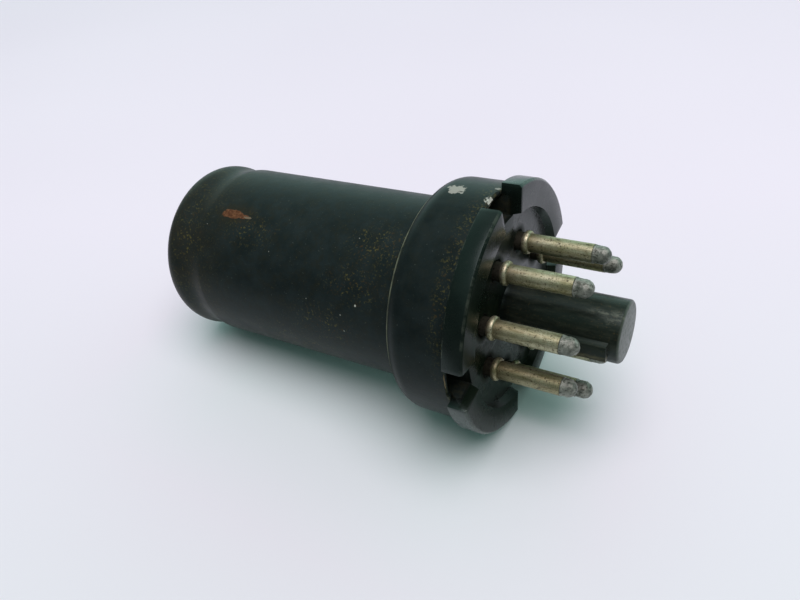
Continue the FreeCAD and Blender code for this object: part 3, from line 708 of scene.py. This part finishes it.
def skirt_profile(lock, deg):
    """Closed profile of the skirt. lock goes from 0 at the plain rim to 1 at a bent lock."""
    r_in = SKIRT_R - SKIRT_WALL
    step = SKIRT_R - SKIRT_LIP_R
    side_x = SKIRT_TOP_X + SHOULDER_L
    outer = []
    for i in range(17):
        a = math.pi / 2 * i / 16
        outer.append((side_x - SHOULDER_L * math.cos(a), SKIRT_LIP_R + step * math.sin(a)))
    outer += line((side_x, SKIRT_R), (SKIRT_RIM_X, SKIRT_R), 8)[1:]
    plain = [(-2.76, SKIRT_R), (-2.62, SKIRT_R - 0.05), (-LUG_T, SKIRT_R - 0.16),
             (-LUG_T, r_in + 0.12), (-2.62, r_in + 0.03), (-2.8, r_in)]
    bent = [(-2.9, SKIRT_R), (-2.68, SKIRT_R - 0.28), (-3.85, 13.15), (-4.3, 13.35),
            (-3.45, r_in - 0.05), (-3.6, r_in)]
    rim = []
    for (x0, r0), (x1, r1) in zip(plain, bent):
        rim.append((x0 + (x1 - x0) * lock, r0 + (r1 - r0) * lock))
    if lock > 0.0:
        ragged = noise.noise(Vector((deg * 0.9, 3.1, 0.0))) * TORN_EDGE
        rim[0] = (rim[0][0] + ragged, rim[0][1])
        rim[1] = (rim[1][0] + ragged * 0.6, rim[1][1] - abs(ragged) * 0.5)
    inner = [(SKIRT_RIM_BACK_X, r_in), (side_x, r_in)]
    inner_step = r_in - SKIRT_LIP_R
    depth = side_x - SKIRT_TOP_X - SKIRT_WALL
    for i in range(1, 9):
        a = math.pi / 2 * (1 - i / 8)
        inner.append((side_x - depth * math.cos(a), SKIRT_LIP_R + inner_step * math.sin(a)))
    profile = outer + rim + inner
    return profile + [profile[0]]


def lock_share(deg):
    """1 on the four bent locks and 0 between them, with a short step at their edges."""
    off = abs((deg + 45.0) % 90.0 - 45.0)
    return min(1.0, max(0.0, (LOCK_HALF_DEG + LOCK_EDGE_DEG - off) / LOCK_FADE_DEG))


def build_skirt(mat):
    s = Sectors()
    degs = []
    # The steps are finest at the edges of the locks.
    for quarter in range(4):
        middle = 90.0 * quarter
        degs += [middle + d for d in (-8.0, -7.8, -7.6, -7.4, -7.2, -7.0)]
        degs += [middle - 6.5 + 0.5 * i for i in range(27)]
        degs += [middle + d for d in (7.0, 7.2, 7.4, 7.6, 7.8, 8.0)]
        degs += [middle + 8.0 + 74.0 * i / 37 for i in range(1, 37)]
    profiles = [skirt_profile(lock_share(d), d) for d in degs]
    for i in range(len(degs)):
        j = (i + 1) % len(degs)
        s.strip(profiles[i], profiles[j], degs[i], degs[j])
    place("steel_skirt", s.bm, mat, "header_skirt", 35.0)


# ---------------------------------------------------------------- base

def plug_profile():
    edge = PLUG_END_X - PLUG_EDGE
    pts = line((FLOOR_X, PLUG_R), (edge, PLUG_R), 24)
    pts += arc(edge, PLUG_R - PLUG_EDGE, PLUG_EDGE, 90.0, 0.0, 6)[1:]
    pts.append((PLUG_END_X, 0.0))
    hollow_x = PLUG_END_X - PLUG_WALL_END
    return pts + [(hollow_x, 0.0), (hollow_x, PLUG_IN_R), (WAFER_BACK_X, PLUG_IN_R)]


def build_base(mat):
    """Four lugs with notches between them, the floor inside them, and the plug with its key."""
    s = Sectors()
    start = [(WAFER_BACK_X, PLUG_IN_R), (WAFER_BACK_X, WAFER_R), (NOTCH_RIM_X, WAFER_R)]
    over = [(-LUG_T, WAFER_R), (-LUG_T, LUG_R), (-LUG_BEVEL, LUG_R), (0.0, LUG_R - LUG_BEVEL),
            (0.0, LUG_IN_R), (FLOOR_X, LUG_FOOT_R)]
    under = [(NOTCH_FLOOR_X, NOTCH_FLOOR_R), (NOTCH_FLOOR_X, DISC_R)]
    end = [(FLOOR_X, DISC_R), (FLOOR_X, FLOOR_RING_R)] + plug_profile()
    lug = start + over + end
    notch = start + under + end
    outline = [start[-1]] + over + [end[0]] + under[::-1]
    for quarter in range(4):
        middle = 45.0 + 90.0 * quarter
        lug_degs = [middle - LUG_HALF_DEG + 2 * LUG_HALF_DEG * i / 36 for i in range(37)]
        gap = 90.0 - 2 * LUG_HALF_DEG
        notch_degs = [middle + LUG_HALF_DEG + gap * i / 10 for i in range(11)]
        for a, b in zip(lug_degs, lug_degs[1:]):
            s.strip(lug, lug, a, b)
        for a, b in zip(notch_degs, notch_degs[1:]):
            s.strip(notch, notch, a, b)
        s.wall(outline, lug_degs[0])
        s.wall(outline, lug_degs[-1])
    base = place("base_moulding", s.bm, mat, "octal_base", 35.0)
    combine(base, key_bar(), "UNION")
    soften(base, SOFT_EDGE)
    combine(base, pin_holes(), "DIFFERENCE")
    finish_shading(base, 35.0)


def key_bar():
    bm = bmesh.new()
    low = (FLOOR_X - KEY_ROOT_L, PLUG_R - KEY_SINK, -KEY_W / 2)
    high = (KEY_END_X, KEY_R, KEY_W / 2)
    made = bmesh.ops.create_cube(bm, size=1.0)
    turn_y = math.cos(math.radians(KEY_DEG))
    for v in made["verts"]:
        x, y, z = [low[i] if v.co[i] < 0 else high[i] for i in range(3)]
        v.co = Vector((x, y * turn_y, z)) * M
    bmesh.ops.recalc_face_normals(bm, faces=bm.faces)
    return bm


def pin_holes():
    """The eight holes of the pins, flared at the base's floor."""
    bm = bmesh.new()
    r = PIN_R + HOLE_GAP
    wide = r + HOLE_FLARE + HOLE_MARGIN
    back, front = WAFER_BACK_X - 1.0, FLOOR_X + HOLE_TOP
    profile = [(back, 0.0), (back, r), (FLOOR_X - HOLE_FLARE, r), (FLOOR_X + HOLE_MARGIN, wide),
               (front, wide), (front, 0.0)]
    for n in range(1, PIN_COUNT + 1):
        turn(bm, profile, HOLE_STEPS, *pin_centre(n), closed=False)
    bmesh.ops.recalc_face_normals(bm, faces=bm.faces)
    return bm


def combine(obj, bm, operation):
    """Adds or cuts a second closed shape, and keeps the result as the object's mesh."""
    mesh = bpy.data.meshes.new("tool")
    bm.to_mesh(mesh)
    bm.free()
    tool = bpy.data.objects.new("tool", mesh)
    bpy.context.scene.collection.objects.link(tool)
    modifier = obj.modifiers.new("join", "BOOLEAN")
    modifier.operation = operation
    modifier.solver = "EXACT"
    modifier.object = tool
    keep_result(obj)
    bpy.data.objects.remove(tool)


def soften(obj, width):
    """Rounds off the sharp edges."""
    modifier = obj.modifiers.new("soft", "BEVEL")
    modifier.width = width * M
    modifier.segments = 2
    modifier.limit_method = "ANGLE"
    modifier.angle_limit = math.radians(32.0)
    keep_result(obj)


def keep_result(obj):
    deps = bpy.context.evaluated_depsgraph_get()
    mesh = bpy.data.meshes.new_from_object(obj.evaluated_get(deps))
    obj.modifiers.clear()
    obj.data = mesh


# ---------------------------------------------------------------- pins

# How far each lump of solder stops short of the full length of the pins
TIP_SHORT = [0.08, 0.0, 0.12, 0.05, 0.1, 0.0, 0.04, 0.38]


def build_pin(n, pin_mat, tip_mat):
    """A hollow pin with its collar, and the lump of solder that closes its tip."""
    y, z = pin_centre(n)
    tube_end = PIN_END_X - SOLDER_L
    heel_x = WAFER_BACK_X - PIN_HEEL_T
    back = PIN_COLLAR_X - PIN_COLLAR_HALF
    front = PIN_COLLAR_X + PIN_COLLAR_HALF
    bm = bmesh.new()
    profile = [(heel_x, PIN_BORE_R), (heel_x, PIN_HEEL_R), (WAFER_BACK_X, PIN_HEEL_R),
               (WAFER_BACK_X, PIN_R)]
    profile += line((FLOOR_X - 0.1, PIN_R), (back, PIN_R), 1)
    swell = PIN_COLLAR_R - PIN_R
    for i in range(1, 14):
        t = math.pi * i / 14
        x = PIN_COLLAR_X - PIN_COLLAR_HALF * math.cos(t)
        profile.append((x, PIN_R + swell * math.sin(t) ** 0.8))
    profile += line((front, PIN_R), (tube_end, PIN_R), 24)
    profile += [(tube_end, PIN_BORE_R)]
    turn(bm, profile, PIN_STEPS, y, z)
    for v in bm.verts:
        if v.co.x > FLOOR_X * M:
            dent(v, y, z, 0.02, 1.3)
    place("pin_" + str(n), bm, pin_mat, "base_pin_" + str(n))
    bm = bmesh.new()
    back = tube_end + SOLDER_INSET
    edge = tube_end + SOLDER_EDGE
    tip_r = PIN_R - SOLDER_INSET
    dome = PIN_END_X - PIN_R - TIP_SHORT[n - 1]
    profile = [(back, 0.0), (back, PIN_R - SOLDER_EDGE_R), (edge, tip_r)]
    profile += line((edge, tip_r), (dome, tip_r), 12)[1:]
    profile += arc(dome, 0.0, tip_r, 90.0, 0.0, 14)[1:]
    profile[-1] = (profile[-1][0], 0.0)
    turn(bm, profile, PIN_STEPS, y, z, closed=False)
    for v in bm.verts:
        if v.co.x > (tube_end + 0.2) * M:
            dent(v, y, z, 0.09, 0.55)
            dent(v, y, z, 0.05, 0.25)
    place("solder_tip_" + str(n), bm, tip_mat, "pin_solder_" + str(n), 60.0)


def dent(vert, y, z, depth, grain):
    """Moves a vertex towards the pin's axis by an uneven amount."""
    out = Vector((0.0, vert.co.y - y * M, vert.co.z - z * M))
    if vert.co.x > (PIN_END_X - PIN_R) * M:
        out.x = vert.co.x - (PIN_END_X - PIN_R) * M
    if out.length < 1e-7:
        return
    amount = 0.5 + 0.5 * noise.noise(vert.co / (grain * M))
    vert.co -= out.normalized() * (depth * max(0.0, amount) * M)


build_shell(shell_material())
build_skirt(skirt_material())
build_base(plastic_material())
pin_metal = pin_material()
solder = solder_material()
for n in range(1, PIN_COUNT + 1):
    build_pin(n, pin_metal, solder)

# ---------------------------------------------------------------- hidden pieces

steel = plain_metal("bare_steel", srgb(150, 152, 154), 0.35)
plate_metal = plain_metal("blackened_plate", srgb(62, 62, 64), 0.6)
wire_metal = plain_metal("bright_wire", srgb(190, 188, 184), 0.25)
white_coat = plain_metal("oxide_coating", srgb(226, 222, 214), 0.85, 0.0)
mica_mat = plain_metal("mica_sheet", srgb(196, 184, 156), 0.3, 0.0)
glass_mat = plain_metal("stem_glass", srgb(200, 214, 210), 0.08, 0.0)
looks = {
    "header": steel, "header_insert": steel, "conical_stem_shield": steel,
    "cylindrical_base_shield": steel, "spacer_shield": steel, "mount_support_left": steel,
    "mount_support_right": steel, "getter": steel, "plate": plate_metal,
    "suppressor_grid": wire_metal, "screen_grid": wire_metal, "control_grid": wire_metal,
    "cathode": white_coat, "heater": white_coat, "lower_spacer": mica_mat,
    "upper_spacer": mica_mat, "glass_stem": glass_mat, "exhaust_tube": glass_mat,
}
for n in range(1, PIN_COUNT + 1):
    looks["lead_wire_" + str(n)] = wire_metal
for name, mat in looks.items():
    data = nodes[name].data
    data.materials.clear()
    data.materials.append(mat)

# ---------------------------------------------------------------- stage

# The tube rests on two corners of the lugs and on the bead beside the groove.
LUG_CORNER_Z = -LUG_R * math.sin(math.radians(45.0 + LUG_HALF_DEG))
BEAD_GAP = 0.5
BEAD_X = GROOVE_X - GROOVE_HALF - BEAD_GAP
SLOPE = (-SHELL_R - LUG_CORNER_Z) / (-LUG_T - BEAD_X)
SHEET_HALF = 600.0

floor_bm = bmesh.new()
corners = []
for x, y in ((-1, -1), (1, -1), (1, 1), (-1, 1)):
    z = -SHELL_R - (x * SHEET_HALF - BEAD_X) * SLOPE
    corners.append(floor_bm.verts.new(Vector((x * SHEET_HALF, y * SHEET_HALF, z)) * M))
floor_bm.faces.new(corners)
floor_mesh = bpy.data.meshes.new("floor")
floor_bm.to_mesh(floor_mesh)
floor_bm.free()
floor = bpy.data.objects.new("floor", floor_mesh)
bpy.context.scene.collection.objects.link(floor)
floor_mesh.materials.append(sheet_material())

# ---------------------------------------------------------------- light

SKY_BACK = (0.74, 1.10, 1.03, 1.0)
SKY_SIDE = (0.10, 0.15, 0.14, 1.0)
SKY_HIGH = (0.31, 0.48, 0.45, 1.0)
SKY_STRENGTH = 1.0
BACK_SIDE = (-0.1, 0.97, 0.2)

# The large soft lamp overhead, in metres and watts
LAMP_PLACE = (0.20, -0.12, 0.90)
LAMP_TARGET = (-0.02, 0.0, 0.0)
LAMP_SIZE = 0.88
LAMP_POWER = 7.1
LAMP_COLOR = (1.05, 0.835, 0.945)


def build_world():
    """A dim room with a bright wall on the side of +Y."""
    world = bpy.data.worlds.new("studio")
    bpy.context.scene.world = world
    world.use_nodes = True
    tree = world.node_tree
    coords = tree.nodes.new("ShaderNodeTexCoord").outputs["Generated"]
    side = tree.nodes.new("ShaderNodeVectorMath")
    side.operation = "DOT_PRODUCT"
    tree.links.new(coords, side.inputs[0])
    side.inputs[1].default_value = BACK_SIDE
    split = tree.nodes.new("ShaderNodeSeparateXYZ")
    tree.links.new(coords, split.inputs[0])
    height = world_ramp(tree, split.outputs["Z"], 0.4, 0.8)
    behind = world_ramp(tree, side.outputs["Value"], 0.05, 0.85)
    sky = world_mix(tree, behind, SKY_SIDE, SKY_BACK)
    sky = world_mix(tree, height, sky, SKY_HIGH)
    back = tree.nodes["Background"]
    tree.links.new(sky, back.inputs["Color"])
    back.inputs["Strength"].default_value = SKY_STRENGTH


def world_ramp(tree, value, low, high):
    n = tree.nodes.new("ShaderNodeMapRange")
    n.interpolation_type = "SMOOTHSTEP"
    tree.links.new(value, n.inputs["Value"])
    n.inputs["From Min"].default_value = low
    n.inputs["From Max"].default_value = high
    return n.outputs["Result"]


def world_mix(tree, fac, a, b):
    n = tree.nodes.new("ShaderNodeMix")
    n.data_type = "RGBA"
    tree.links.new(fac, n.inputs[0])
    for socket, value in ((n.inputs[6], a), (n.inputs[7], b)):
        if isinstance(value, tuple):
            socket.default_value = value
        else:
            tree.links.new(value, socket)
    return n.outputs[2]


def area_light(name, spot, target, size, power, color):
    data = bpy.data.lights.new(name, "AREA")
    data.shape = "DISK"
    data.size = size
    data.energy = power
    data.color = color
    obj = bpy.data.objects.new(name, data)
    bpy.context.scene.collection.objects.link(obj)
    obj.location = spot
    obj.rotation_mode = "QUATERNION"
    obj.rotation_quaternion = (Vector(target) - Vector(spot)).to_track_quat("-Z", "Y")


build_world()
area_light("key", LAMP_PLACE, LAMP_TARGET, LAMP_SIZE, LAMP_POWER, LAMP_COLOR)

# ---------------------------------------------------------------- camera

CAMERA_PLACE = (29.703, -64.389, 58.556)
CAMERA_TURN = (51.833, 8.912, 29.867)
CAMERA_LENS = 31.906

cam_data = bpy.data.cameras.new("camera")
cam_data.sensor_width = 36.0
cam_data.lens = CAMERA_LENS
cam_data.clip_start = 0.005
cam_data.clip_end = 5.0
cam = bpy.data.objects.new("camera", cam_data)
bpy.context.scene.collection.objects.link(cam)
cam.location = Vector(CAMERA_PLACE) * M
cam.rotation_mode = "XYZ"
cam.rotation_euler = [math.radians(a) for a in CAMERA_TURN]
bpy.context.scene.camera = cam
bpy.context.scene.view_settings.view_transform = "Standard"
